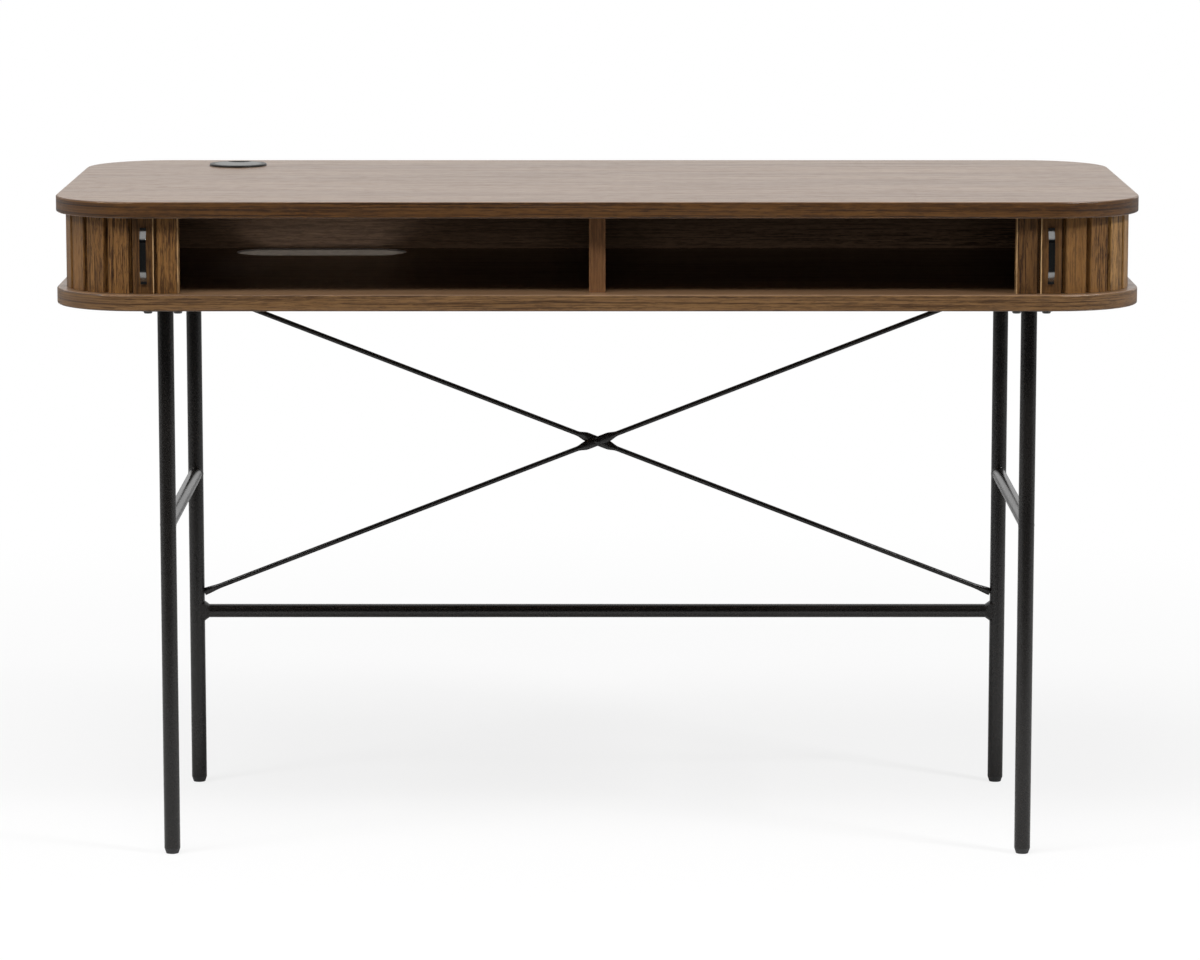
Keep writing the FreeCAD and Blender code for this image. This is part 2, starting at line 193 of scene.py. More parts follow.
handles = [bow_handle("left", -1), bow_handle("right", 1)]
for strap in handles:
    low = min(v.co.y for v in strap.data.vertices)
    high = max(v.co.y for v in strap.data.vertices)
    print(strap.name, len(strap.data.polygons), "faces, y", round(low, 5), round(high, 5))

# %% [markdown]
# ## Crossed brace rods
# Two thin round bars cross behind the knees. Where they meet each other and the legs they are
# hammered flat, so the section swells to an oval there. A cylinder with a flat plate stuck on
# would show a hard step, so a circle is extruded along the bar instead, and at each station
# its ring is resized, which lets the round run softly into the flat.

# %% Section of a brace rod
BRACE_R = 3 * MM
BRACE_FLAT_W = 11 * MM
BRACE_FLAT_T = 3 * MM
BRACE_FLAT_HALF = 26 * MM
BRACE_SHOULDER = 13 * MM
BRACE_TAB_W = 9 * MM
BRACE_TAB_L = 22 * MM


def eased(t):
    t = min(max(t, 0), 1)
    return t * t * (3 - 2 * t)


def brace_section(s, half, face):
    # half width in the plane of the cross, half thickness, and offset of the ring at station s
    flat = 1 - eased((abs(s) - BRACE_SHOULDER) / (BRACE_FLAT_HALF - BRACE_SHOULDER))
    tab = eased((abs(s) - half + BRACE_TAB_L) / BRACE_TAB_L)
    wide = BRACE_R + (BRACE_FLAT_W / 2 - BRACE_R) * flat + (BRACE_TAB_W / 2 - BRACE_R) * tab
    thick = BRACE_R + (BRACE_FLAT_T / 2 - BRACE_R) * max(flat, tab)
    return wide, thick, face * BRACE_FLAT_T / 2 * flat


print("section at the crossing:", brace_section(0, 1, 1))

# %% Brace rods
LEG_X = 478.6 * MM
LEG_Y = 192.7 * MM
LEG_R = 9 * MM
BRACE_LOW_Z = 231 * MM
BRACE_HIGH_Z = 595 * MM
BRACE_MID_Z = (BRACE_LOW_Z + BRACE_HIGH_Z) / 2
BRACE_RISE = (BRACE_HIGH_Z - BRACE_LOW_Z) / 2
BRACE_INTO_LEG = 0.4 * MM
BRACE_SIDES = 24
TAB_RINGS = 6
FLAT_RINGS = 16
PLAIN_STEP = 0.1
PLAIN_END = 0.12
MERGE_GAP = 0.00001


def edit_all(piece):
    choose(piece)
    bpy.ops.object.mode_set(mode="EDIT")
    bpy.ops.mesh.select_all(action="SELECT")


def tidy_normals(piece):
    edit_all(piece)
    bpy.ops.mesh.remove_doubles(threshold=MERGE_GAP)
    bpy.ops.mesh.normals_make_consistent(inside=False)
    bpy.ops.object.mode_set(mode="OBJECT")


def brace_stations(half):
    # rings lie close together where the section changes, and 100 mm apart on the plain bar
    tabs = [half - BRACE_TAB_L * k / TAB_RINGS for k in range(TAB_RINGS + 1)]
    flats = [BRACE_FLAT_HALF * k / FLAT_RINGS for k in range(FLAT_RINGS + 1)]
    plain = [PLAIN_STEP + PLAIN_STEP * k for k in range(int((half - PLAIN_END) / PLAIN_STEP))]
    right = tabs + flats + plain
    return sorted(set([-s for s in right] + right))


def brace_rod(face, name, node):
    half = math.hypot(LEG_X - LEG_R + BRACE_INTO_LEG, BRACE_RISE)
    tilt = math.atan2(BRACE_RISE, LEG_X - LEG_R)
    stations = brace_stations(half)
    clear_selection()
    bpy.ops.mesh.primitive_circle_add(
        vertices=BRACE_SIDES, radius=1, fill_type="NGON", rotation=(0, math.pi / 2, 0))
    bar = bpy.context.object
    bar.name = name
    wide, thick, off = brace_section(stations[0], half, face)
    bar.scale = (wide, thick, 1)
    bar.location = (stations[0], off, 0)
    settle(bar)
    edit_all(bar)
    for a, b in zip(stations, stations[1:]):
        w, t, o = brace_section(b, half, face)
        bpy.ops.mesh.extrude_region_move(TRANSFORM_OT_translate={"value": (b - a, o - off, 0)})
        bpy.ops.transform.resize(value=(1, t / thick, w / wide), center_override=(b, o, 0))
        wide, thick, off = w, t, o
    bpy.ops.object.mode_set(mode="OBJECT")
    tidy_normals(bar)
    bar.rotation_euler = (0, face * tilt, 0)
    bar.location = (0, LEG_Y, BRACE_MID_Z)
    settle(bar)
    smooth(bar, 50)
    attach(bar, "frame")
    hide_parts(node)
    print(name, len(bar.data.polygons), "faces, half length", round(half, 4))
    return bar


brace_rods = [
    brace_rod(1, "falling_brace", "brace_rod_falling"),
    brace_rod(-1, "rising_brace", "brace_rod_rising"),
]

# %% [markdown]
# ## Rivet at the crossing
# A round-headed rivet holds the two flats together. The CAD has a plain disc at each end. Half a
# sphere would be too tall for a closed rivet, so the end faces of a cylinder are inset and pushed
# out twice, which gives a low dome.

# %% Rivet
RIVET_HEAD_R = 4 * MM
RIVET_PROUD = 0.6 * MM
RIVET_DOME = ((0.7 * MM, 0.75 * MM), (1.4 * MM, 0.4 * MM))
TURNED_SIDES = 32


def rivet():
    clear_selection()
    depth = 2 * BRACE_FLAT_T + RIVET_PROUD
    bpy.ops.mesh.primitive_cylinder_add(
        vertices=TURNED_SIDES, radius=RIVET_HEAD_R, depth=depth, rotation=(math.pi / 2, 0, 0))
    head = bpy.context.object
    head.name = "brace_rivet_heads"
    settle(head)
    for end in (-1, 1):
        pick(head, "polygons", lambda m: m.y * end > depth / 2 - PICK_GAP)
        for inset, rise in RIVET_DOME:
            bpy.ops.mesh.inset(thickness=inset)
            bpy.ops.transform.translate(value=(0, end * rise, 0))
    bpy.ops.object.mode_set(mode="OBJECT")
    head.location = (0, LEG_Y, BRACE_MID_Z)
    settle(head)
    smooth(head, 50)
    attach(head, "frame")
    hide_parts("brace_rivet")
    return head


brace_rivet = rivet()
print(brace_rivet.name, len(brace_rivet.data.polygons), "faces")

# %% [markdown]
# ## Bolts under the board
# Sixteen button-head bolts hold the leg plates. Each has a hexagon socket for the key that comes
# with the desk. One bolt is turned from a cylinder: the head's rim is bevelled, and the shank is an
# inset face extruded upwards. The socket could be drawn into the end face, but a Boolean with a
# six-sided bar is shorter and leaves clean walls. The rest are copies.

# %% One bolt
BOLT_HEAD_R = 4.75 * MM
BOLT_HEAD_H = 3 * MM
BOLT_ROUND = 1.3 * MM
BOLT_R = 2.5 * MM
BOLT_L = 15 * MM
SOCKET_R = 1.75 * MM
KEY_L = 4 * MM


def one_bolt():
    clear_selection()
    bpy.ops.mesh.primitive_cylinder_add(
        vertices=TURNED_SIDES, radius=BOLT_HEAD_R, depth=BOLT_HEAD_H, location=(0, 0, -BOLT_HEAD_H / 2))
    bolt = bpy.context.object
    settle(bolt)
    pick(bolt, "edges", lambda m: m.z < -BOLT_HEAD_H + PICK_GAP)
    bpy.ops.mesh.bevel(offset=BOLT_ROUND, segments=4, affect="EDGES")
    pick(bolt, "polygons", lambda m: m.z > -PICK_GAP)
    bpy.ops.mesh.inset(thickness=BOLT_HEAD_R - BOLT_R)
    bpy.ops.mesh.extrude_region_move(TRANSFORM_OT_translate={"value": (0, 0, BOLT_L)})
    clear_selection()
    bpy.ops.mesh.primitive_cylinder_add(
        vertices=6, radius=SOCKET_R, depth=KEY_L, location=(0, 0, -BOLT_HEAD_H))
    key = bpy.context.object
    settle(key)
    cut = bolt.modifiers.new("key socket", "BOOLEAN")
    cut.operation = "DIFFERENCE"
    cut.object = key
    apply_modifiers(bolt)
    bpy.data.objects.remove(key)
    return bolt


first_bolt = one_bolt()
print("one bolt:", len(first_bolt.data.polygons), "faces")

# %% Sixteen bolts
PLATE_Z = 618 * MM
BOLT_DX = 16.5 * MM
BOLT_DY = 30 * MM
LEGS = [(x, y) for x in (-LEG_X, LEG_X) for y in (-LEG_Y, LEG_Y)]


def copy_of(piece, name):
    other = piece.copy()
    other.data = piece.data.copy()
    other.name = name
    bpy.context.collection.objects.link(other)
    return other


def joined(pieces, name):
    clear_selection()
    for piece in pieces:
        piece.select_set(True)
    bpy.context.view_layer.objects.active = pieces[0]
    bpy.ops.object.join()
    pieces[0].name = name
    return pieces[0]


bolt_set = []
for x, y in LEGS:
    for dx in (-BOLT_DX, BOLT_DX):
        for dy in (-BOLT_DY, BOLT_DY):
            bolt = copy_of(first_bolt, "bolt")
            bolt.location = (x + dx, y + dy, PLATE_Z)
            settle(bolt)
            bolt_set.append(bolt)
bpy.data.objects.remove(first_bolt)
socket_bolts = joined(bolt_set, "socket_bolts")
smooth(socket_bolts, 30)
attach(socket_bolts, "frame")
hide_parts("plate_bolts")
print("socket bolts:", len(socket_bolts.data.polygons), "faces")

# %% [markdown]
# ## Weld beads
# The tubes are welded where they meet, and the bead shows as a small rounded fillet under the
# paint. A bevel on the joint would need the tubes as one mesh, so each bead is a ring of its own,
# a little uneven, as a weld is. One lies round the head of each leg against its plate. At the side
# rails the ring has to follow the leg's curve, so a torus is made round the rail and each point
# slides along the rail until it lies on the leg's face.

# %% Weld beads
BEAD_R = 1.3 * MM
BEAD_SINK = 0.3 * MM
BEAD_ROUGH = 0.12 * MM
RAIL_Z = 374 * MM
RAIL_R = 8 * MM


def ring(radius):
    clear_selection()
    bpy.ops.mesh.primitive_torus_add(
        major_segments=48, minor_segments=10, major_radius=radius, minor_radius=BEAD_R)
    bead = bpy.context.object
    edit_all(bead)
    bpy.ops.transform.vertex_random(offset=BEAD_ROUGH, seed=3)
    bpy.ops.mesh.vertices_smooth(factor=0.5)
    bpy.ops.object.mode_set(mode="OBJECT")
    return bead


def leg_head_bead(x, y):
    bead = ring(LEG_R + BEAD_SINK)
    bead.location = (x, y, PLATE_Z - BEAD_SINK)
    settle(bead)
    return bead


def rail_bead(x, y):
    bead = ring(RAIL_R)
    bead.rotation_euler = (math.pi / 2, 0, 0)
    settle(bead)
    inward = -1 if y > 0 else 1
    for v in bead.data.vertices:
        off_middle = min(abs(v.co.x), LEG_R)
        v.co.y += inward * math.sqrt(LEG_R ** 2 - off_middle ** 2)
    bead.location = (x, y, RAIL_Z)
    settle(bead)
    tidy_normals(bead)
    return bead


beads = []
for x, y in LEGS:
    beads.append(leg_head_bead(x, y))
    beads.append(rail_bead(x, y))
weld_beads = joined(beads, "weld_beads")
smooth(weld_beads, 60)
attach(weld_beads, "frame")
print("weld beads:", len(weld_beads.data.polygons), "faces")

# %% [markdown]
# ## Shader maths
# A finish is a small graph of nodes. Writing `1 - mask * 0.5` is easier to read than wiring three
# Math nodes, so one class wraps a socket and turns Python's operators into Math nodes. Any other
# node comes from `Graph.node`, which sets the node up first and then feeds its sockets.


# %% Operators on sockets
class Wire:
    def __init__(self, graph, socket):
        self.graph = graph
        self.socket = socket

    def maths(self, operation, a, b=0.5):
        return self.graph.node("ShaderNodeMath", {"operation": operation}, {0: a, 1: b})

    def __add__(self, other):
        return self.maths("ADD", self, other)

    def __radd__(self, other):
        return self.maths("ADD", other, self)

    def __sub__(self, other):
        return self.maths("SUBTRACT", self, other)

    def __rsub__(self, other):
        return self.maths("SUBTRACT", other, self)

    def __mul__(self, other):
        return self.maths("MULTIPLY", self, other)

    def __rmul__(self, other):
        return self.maths("MULTIPLY", other, self)

    def __abs__(self):
        return self.maths("ABSOLUTE", self)

    def sine(self):
        return self.maths("SINE", self)

    def root(self):
        return self.maths("SQRT", self)

    def larger(self, other):
        return self.maths("MAXIMUM", self, other)


print("operators on sockets:", [name for name in dir(Wire) if name in ("__add__", "__sub__", "__mul__")])


# %% Graphs of nodes
class Graph:
    def __init__(self, tree):
        self.tree = tree

    def node(self, kind, settings=None, sockets=None, out=0):
        made = self.tree.nodes.new(kind)
        for key, value in (settings or {}).items():
            if key == "stops":
                self.set_stops(made.color_ramp, value)
            else:
                setattr(made, key, value)
        for key, value in (sockets or {}).items():
            self.feed(made.inputs[key], value)
        if isinstance(out, tuple):
            return [Wire(self, made.outputs[k]) for k in out]
        return Wire(self, made.outputs[out])

    def set_stops(self, ramp, stops):
        while len(ramp.elements) < len(stops):
            ramp.elements.new(0.5)
        for element, (place, colour) in zip(ramp.elements, stops):
            element.position = place
            element.color = (*colour, 1)

    def feed(self, socket, value):
        if isinstance(value, Wire):
            self.tree.links.new(value.socket, socket)
        elif socket.type == "RGBA":
            socket.default_value = (*value, 1)
        else:
            socket.default_value = value

    def split(self, vector):
        return self.node("ShaderNodeSeparateXYZ", {}, {0: vector}, out=(0, 1, 2))

    def noise(self, place, waves, detail=2.0, rough=0.5, twist=0.0):
        # waves is how many fit in a metre, in each of the three directions
        x, y, z = place
        point = self.node("ShaderNodeCombineXYZ", {}, {0: x, 1: y, 2: z})
        scaled = self.node("ShaderNodeVectorMath", {"operation": "MULTIPLY"}, {0: point, 1: waves})
        return self.node("ShaderNodeTexNoise", {"noise_dimensions": "3D"}, {
            "Vector": scaled, "Scale": 1.0, "Detail": detail, "Roughness": rough, "Distortion": twist})

    def ramp(self, value, *stops):
        return self.node("ShaderNodeValToRGB", {"stops": stops}, {0: value})

    def step(self, value, low, high):
        return self.node("ShaderNodeMapRange", {"interpolation_type": "SMOOTHSTEP"}, {
            "Value": value, "From Min": low, "From Max": high})

    def mix(self, share, first, second):
        return self.node("ShaderNodeMix", {"data_type": "RGBA"}, {0: share, 6: first, 7: second}, out=2)

    def bump(self, height, deep, strength):
        return self.node("ShaderNodeBump", {}, {"Height": height, "Distance": deep, "Strength": strength})


class Finish(Graph):
    def __init__(self, name):
        self.material = bpy.data.materials.new(name)
        self.material.use_nodes = True
        super().__init__(self.material.node_tree)
        self.shader = self.tree.nodes["Principled BSDF"]

    def set(self, **sockets):
        for key, value in sockets.items():
            self.feed(self.shader.inputs[key.replace("_", " ")], value)

    def place(self):
        # the three Object coordinates, in metres
        return self.split(self.node("ShaderNodeTexCoord", out="Object"))

    def facing(self):
        return self.split(self.node("ShaderNodeNewGeometry", out="Normal"))


def even(waves):
    return (waves, waves, waves)


print("materials before the first finish:", len(bpy.data.materials))

# %% [markdown]
# ## Walnut
# The desk's wood is a dark walnut veneer under satin lacquer. Broad bands of tone, thin growth
# rings, fine fibres and short dark pores all run one way. A picture of veneer would be quick to
# use, but it repeats and ends at every edge. So each of the four is a noise in space, stretched
# along the grain by 20 to 140 times, and `grain` returns all four for the wood's colour and relief.

# %% Grain
SWAY_WAVES = (5, 9, 9)
SWAY_REACH = 0.004
BAND_RUN, BAND_CROSS = 1.3, 26
RING_CROSS = 330
FIBRE_WAVES = (18, 1100, 1100)
PORE_WAVES = (55, 1250, 1250)
RING_LINE = (0.485, 0.60)
PORE_LINE = (0.57, 0.69)
TONE_LOW, TONE_HIGH = 0.36, 0.64
PORE = (0.016, 0.007, 0.003)
DARK_FLECK = (0.52, 0.64)
LIGHT_FLECK = (0.48, 0.36)


def grain(finish, place, figure, fine, ring_run):
    along, across, depth = place
    across = across + finish.noise(place, SWAY_WAVES, 2.0) * SWAY_REACH
    place = (along, across, depth)
    bands = finish.noise(place, (BAND_RUN, BAND_CROSS * figure, BAND_CROSS * figure), 4.0, 0.55, 0.7)
    rings = finish.noise(place, (ring_run, RING_CROSS * fine, RING_CROSS * fine), 3.0, 0.62, 0.15)
    fibres = finish.noise(place, FIBRE_WAVES, 2.0, 0.6)
    pores = finish.noise(place, PORE_WAVES, 1.0, 0.5)
    return bands, finish.step(rings, *RING_LINE), fibres, finish.step(pores, *PORE_LINE)


def wood_tones(finish, parts, tones, ring_share, pore_share):
    bands, rings, fibres, pores = parts
    dark, middle, light = tones
    tone = bands * 0.6 + fibres * 0.4
    colour = finish.ramp(tone, (TONE_LOW, middle), (TONE_HIGH, light))
    colour = finish.mix(rings * ring_share, colour, dark)
    return finish.mix(pores * pore_share, colour, PORE)


def flecked(finish, colour, place, waves, tones, dark_share, light_share):
    # short dark and light dashes, as where the plane cuts through the fibres
    flecks = finish.noise(place, waves, 3.0, 0.65, 0.5)
    colour = finish.mix(finish.step(flecks, *DARK_FLECK) * dark_share, colour, tones[0])
    return finish.mix(finish.step(flecks, *LIGHT_FLECK) * light_share, colour, tones[2])


def wood_relief(parts):
    bands, rings, fibres, pores = parts
    return fibres * 0.3 - pores * 0.8 - rings * 0.35


print("rings:", RING_CROSS, "waves a metre across the grain")

# %% [markdown]
# On the two boards the face grain runs along the width, and a strip of veneer is glued round the
# rim, with its own grain. Two materials would need the rim's faces picked on every board. One
# material that asks the normal is shorter: where the surface looks sideways, the rim's grain shows.

# %% Walnut boards
RIM_NORMAL = (0.45, 0.75)
RIM_FLECKS = (60, 620, 200)
BOARD_DEEP = 0.00010
BOARD_FACE = ((0.060, 0.029, 0.014), (0.124, 0.069, 0.036), (0.191, 0.114, 0.062))
TOP_RIM = ((0.010, 0.0035, 0.0012), (0.056, 0.022, 0.005), (0.104, 0.046, 0.012))
BASE_RIM = ((0.031, 0.013, 0.0045), (0.115, 0.058, 0.021), (0.185, 0.099, 0.039))


def walnut_board(name, rim_tones):
    finish = Finish(name)
    x, y, z = finish.place()
    nx, ny, nz = finish.facing()
    edge = 1 - finish.step(abs(nz), *RIM_NORMAL)
    run = x + y
    face_set = grain(finish, (x, y, z), 1.0, 1.0, 4)
    rim_set = grain(finish, (run, z, z * 0.3), 3.0, 1.7, 4)
    face = wood_tones(finish, face_set, BOARD_FACE, 0.55, 0.35)
    rim = wood_tones(finish, rim_set, rim_tones, 0.85, 0.4)
    rim = flecked(finish, rim, (run, z, z), RIM_FLECKS, rim_tones, 0.55, 0.55)
    bands, rings, fibres, pores = face_set
    finish.set(Base_Color=finish.mix(edge, face, rim))
    finish.set(Roughness=0.30 + pores * 0.12 + rings * 0.06 + edge * 0.1)
    relief = wood_relief(face_set) * (1 - edge) + wood_relief(rim_set) * edge
    finish.set(Normal=finish.bump(relief, BOARD_DEEP, 0.6))
    return finish.material


# The worktop's rim tones are about half as bright as the base board's rim tones.
top_wood = walnut_board("walnut_worktop", TOP_RIM)
base_wood = walnut_board("walnut_base_board", BASE_RIM)
print("board finish nodes:", len(top_wood.node_tree.nodes))

# %% [markdown]
# The slats are cut from solid strips, so their grain runs upright, and every strip comes from
# another place in the plank. They could each get a random shift, but the noise is read in three
# dimensions, so neighbouring slats differ by themselves. Some strips are darker wood. The last two
# slats of the right door are painted paler, as painted light where the right lamp falls on them.
# The inner panels use the same function with the grain laid along the desk.

# %% Walnut slats and panels
BROAD_WAVES = (2.2, 120, 120)
BROAD_LINE = (0.53, 0.64)
STRIP_FLECKS = (75, 620, 620)
STRIP_WAVES = (0.4, 23, 23)
STRIP_LINE = (0.4, 0.65)
STRIP_DEEP = 0.00015
SLAT_TONES = ((0.015, 0.0053, 0.002), (0.117, 0.051, 0.013), (0.219, 0.107, 0.033))
DARK_SLAT_TONES = ((0.009, 0.0034, 0.0013), (0.060, 0.026, 0.007), (0.118, 0.056, 0.018))
# painted light: a paler copy of the slat walnut, for the slats that the right lamp lights
PAINTED_LIGHT_SLAT_TONES = ((0.033, 0.013, 0.0045), (0.208, 0.104, 0.029), (0.358, 0.196, 0.067))
PANEL_TONES = ((0.028, 0.016, 0.010), (0.112, 0.065, 0.038), (0.200, 0.122, 0.074))
DIVIDER_TONES = ((0.043, 0.017, 0.007), (0.110, 0.048, 0.018), (0.165, 0.078, 0.031))


def walnut_strip(name, tones, upright=True):
    finish = Finish(name)
    x, y, z = finish.place()
    place = (z, x, y) if upright else (x, z, y)
    dark, middle, light = tones
    parts = grain(finish, place, 2.2, 1.9, 13)
    colour = wood_tones(finish, parts, tones, 0.9, 0.5)
    broad = finish.step(finish.noise(place, BROAD_WAVES, 3.0, 0.6, 0.9), *BROAD_LINE)
    colour = finish.mix(broad * 0.35, colour, dark)
    colour = flecked(finish, colour, place, STRIP_FLECKS, tones, 0.75, 0.6)
    strip = finish.step(finish.noise(place, STRIP_WAVES, 0.0, 0.5), *STRIP_LINE)
    finish.set(Base_Color=finish.mix(strip * 0.4, colour, light))
    bands, rings, fibres, pores = parts
    finish.set(Roughness=0.42 + pores * 0.15 + fibres * 0.08, Specular_IOR_Level=0.3)
    finish.set(Normal=finish.bump(wood_relief(parts), STRIP_DEEP, 0.8))
    return finish.material


slat_wood = walnut_strip("walnut_slats", SLAT_TONES)
slat_dark = walnut_strip("walnut_dark_slats", DARK_SLAT_TONES)
# paler slat walnut that paints the light of the right lamp
slat_painted_light = walnut_strip("walnut_pale_slats", PAINTED_LIGHT_SLAT_TONES)
panel_wood = walnut_strip("walnut_panels", PANEL_TONES, upright=False)
divider_wood = walnut_strip("walnut_divider", DIVIDER_TONES)
print("slat finish nodes:", len(slat_wood.node_tree.nodes))

# %% [markdown]
# ## Beech dowels
# The dowels are hidden, but a part may be taken apart. Plain pale beech has short brown flecks.
# A flat colour would do for what nobody sees, but two noises cost little and look like wood.

# %% Beech
BEECH_FLECKS = (900, 900, 160)
BEECH_WAVES = (200, 200, 12)
BEECH_LOW = (0.46, 0.31, 0.18)
BEECH_HIGH = (0.62, 0.46, 0.29)
BEECH_FLECK = (0.30, 0.17, 0.09)


def beech_dowels():
    finish = Finish("beech_dowels")
    place = finish.place()
    fleck = finish.step(finish.noise(place, BEECH_FLECKS, 1.0), 0.58, 0.68)
    tone = finish.noise(place, BEECH_WAVES, 3.0)
    colour = finish.ramp(tone, (0.3, BEECH_LOW), (0.7, BEECH_HIGH))
    finish.set(Base_Color=finish.mix(fleck * 0.5, colour, BEECH_FLECK))
    finish.set(Roughness=0.62 + fleck * 0.1)
    finish.set(Normal=finish.bump(tone - fleck * 0.4, 0.0001, 0.5))
    return finish.material


dowel_wood = beech_dowels()
print("beech finish nodes:", len(dowel_wood.node_tree.nodes))

# %% [markdown]
# ## Black powder coat
# Powder is sprayed dry and baked, and it flows into a very fine orange peel. The colour is nearly
# constant, so the finish lives in its roughness, with a peel so shallow that it only softens the
# edge of a highlight. A deeper bump would make the thin rods glitter. Hands polish the coat a
# little over time, which a broad noise on the roughness shows.

# %% Powder coat
PEEL_WAVES = even(800)
PEEL_DEEP = 0.00001
COAT_CLOUDS = (14, 14, 9)
SPECK_WAVES = even(3200)
COAT_LOW = (0.0062, 0.0054, 0.0049)
COAT_HIGH = (0.0104, 0.0092, 0.0084)
COAT_SPECK = (0.022, 0.022, 0.021)


def powder_coat():
    finish = Finish("black_powder_coat_finish")
    place = finish.place()
    peel = finish.noise(place, PEEL_WAVES, 1.0, 0.5)
    cloud = finish.noise(place, COAT_CLOUDS, 3.0, 0.5)
    speck = finish.step(finish.noise(place, SPECK_WAVES, 0.0), 0.68, 0.78)
    colour = finish.ramp(cloud, (0.3, COAT_LOW), (0.7, COAT_HIGH))
    finish.set(Base_Color=finish.mix(speck * 0.15, colour, COAT_SPECK))
    finish.set(Roughness=0.20 + peel * 0.08 + cloud * 0.07, Specular_IOR_Level=0.40)
    finish.set(Normal=finish.bump(peel, PEEL_DEEP, 0.5))
    return finish.material


black_coat = powder_coat()
print("powder coat nodes:", len(black_coat.node_tree.nodes))

# %% [markdown]
# ## Black nickel handles
# The handles look black at the grip and silver at their bends, which paint can't do. They are
# plated, so they mirror a dark room in the grip, the pale floor in the lower bend and a white card
# in the upper one. A dark metal with low roughness does that, with no light painted on. Fine lines
# across the strap come from polishing.

# %% Black nickel
POLISH_WAVES = (500, 2500, 2500)
POLISH_DEEP = 0.00002
TOUCH_WAVES = (120, 120, 60)
NICKEL_LOW = (0.175, 0.173, 0.170)
NICKEL_HIGH = (0.215, 0.213, 0.210)


def black_nickel():
    finish = Finish("black_nickel_plate")
    place = finish.place()
    polish = finish.noise(place, POLISH_WAVES, 2.0, 0.6)
    touch = finish.noise(place, TOUCH_WAVES, 3.0)
    finish.set(Base_Color=finish.ramp(touch, (0.3, NICKEL_LOW), (0.7, NICKEL_HIGH)))
    finish.set(Metallic=1.0, Roughness=0.08 + polish * 0.07 + touch * 0.04)
    finish.set(Normal=finish.bump(polish, POLISH_DEEP, 0.4))
    return finish.material


handle_plate = black_nickel()
print("black nickel nodes:", len(handle_plate.node_tree.nodes))

# %% [markdown]
# ## Satin grommet
# The cable grommet is a turned cap with a satin grey finish. Turning leaves fine rings. A ring
# texture would sit at the desk's middle, so the finish reads the distance from the cap's own
# centre and runs a noise over it.

# %% Satin grommet
GROMMET_X = -424 * MM
GROMMET_Y = 192 * MM
TURNED_WAVES = (4200, 900, 1)
TURNED_DEEP = 0.00003
SATIN_CLOUDS = even(60)
SATIN_METAL = 0.85
CAP_GREY = (0.20, 0.203, 0.195)
RING_GREY = (0.05, 0.05, 0.048)


def satin_grommet(name, tone):
    finish = Finish(name)
    x, y, z = finish.place()
    dx = x - GROMMET_X
    dy = y - GROMMET_Y
    away = (dx * dx + dy * dy).root()
    rings = finish.noise((away, z, 0.0), TURNED_WAVES, 3.0, 0.6)
    cloud = finish.noise((x, y, z), SATIN_CLOUDS, 2.0)
    dark = tuple(c * 0.86 for c in tone)
    finish.set(Base_Color=finish.mix(finish.step(rings, 0.3, 0.7), dark, tone))
    finish.set(Metallic=SATIN_METAL, Roughness=0.34 + rings * 0.12 + cloud * 0.06)
    finish.set(Normal=finish.bump(rings, TURNED_DEEP, 0.5))
    return finish.material


cap_satin = satin_grommet("grommet_cap_satin", CAP_GREY)
ring_satin = satin_grommet("grommet_ring_satin", RING_GREY)
print("grommet finish nodes:", len(cap_satin.node_tree.nodes))

# %% [markdown]
# ## Canvas
# The slats are glued to black canvas, a fine plain weave. Threads of geometry would be thousands of
# faces for a cloth that lies flat. Two sine waves multiplied give the over and under of the weave,
# and a noise gives the thick places that real yarn has.

# %% Canvas
THREADS = 1600.0
SLUB_WAVES = (300, 300, 900)
CANVAS_UNDER = (0.0065, 0.0065, 0.0068)
CANVAS_OVER = (0.016, 0.0155, 0.0155)
CANVAS_SLUB = (0.022, 0.021, 0.021)


def black_canvas():
    finish = Finish("black_canvas_weave")
    x, y, z = finish.place()
    weft = (z * (THREADS * math.pi)).sine()
    warp = ((x + y) * (THREADS * math.pi)).sine()
    over = weft * warp * 0.5 + 0.5
    slub = finish.noise((x, y, z), SLUB_WAVES, 3.0)
    colour = finish.mix(over, CANVAS_UNDER, CANVAS_OVER)
    finish.set(Base_Color=finish.mix(slub * 0.4, colour, CANVAS_SLUB))
    finish.set(Roughness=0.86 + slub * 0.1)
    finish.set(Normal=finish.bump(over + slub * 0.5, 0.0002, 0.8))
    return finish.material


canvas_cloth = black_canvas()
print("threads a centimetre:", THREADS / 100)

# %% [markdown]
# ## Feet and plated screws
# The feet are moulded plastic with a faint grain and scuffs from the floor. The hidden screws and
# inserts are zinc plated, and the bolts have a duller dark plating, so one function makes both.

# %% Feet and plating
PIT_WAVES = even(900)
SCUFF_WAVES = (300, 300, 60)
FOOT_BLACK = (0.013, 0.013, 0.013)
FOOT_SCUFF = (0.032, 0.031, 0.030)
SPANGLE_WAVES = even(700)
SPANGLE_DEEP = 0.00005


def moulded_foot():
    finish = Finish("moulded_foot")
    place = finish.place()
    pit = finish.noise(place, PIT_WAVES, 2.0)
    scuff = finish.step(finish.noise(place, SCUFF_WAVES, 3.0), 0.55, 0.75)
    finish.set(Base_Color=finish.mix(scuff * 0.4, FOOT_BLACK, FOOT_SCUFF))
    finish.set(Roughness=0.52 + scuff * 0.2)
    finish.set(Normal=finish.bump(pit, 0.0001, 0.5))
    return finish.material


def zinc_plating(name, dull, bright):
    finish = Finish(name)
    spangle = finish.noise(finish.place(), SPANGLE_WAVES, 3.0)
    finish.set(Base_Color=finish.ramp(spangle, (0.3, dull), (0.7, bright)))
    finish.set(Metallic=0.95, Roughness=0.28 + spangle * 0.22)
    finish.set(Normal=finish.bump(spangle, SPANGLE_DEEP, 0.5))
    return finish.material


foot_plastic = moulded_foot()
plated_steel = zinc_plating("zinc_plating", (0.36, 0.37, 0.38), (0.56, 0.56, 0.55))
bolt_plating = zinc_plating("dull_bolt_plating", (0.085, 0.084, 0.082), (0.150, 0.147, 0.142))
print("finishes so far:", len(bpy.data.materials))
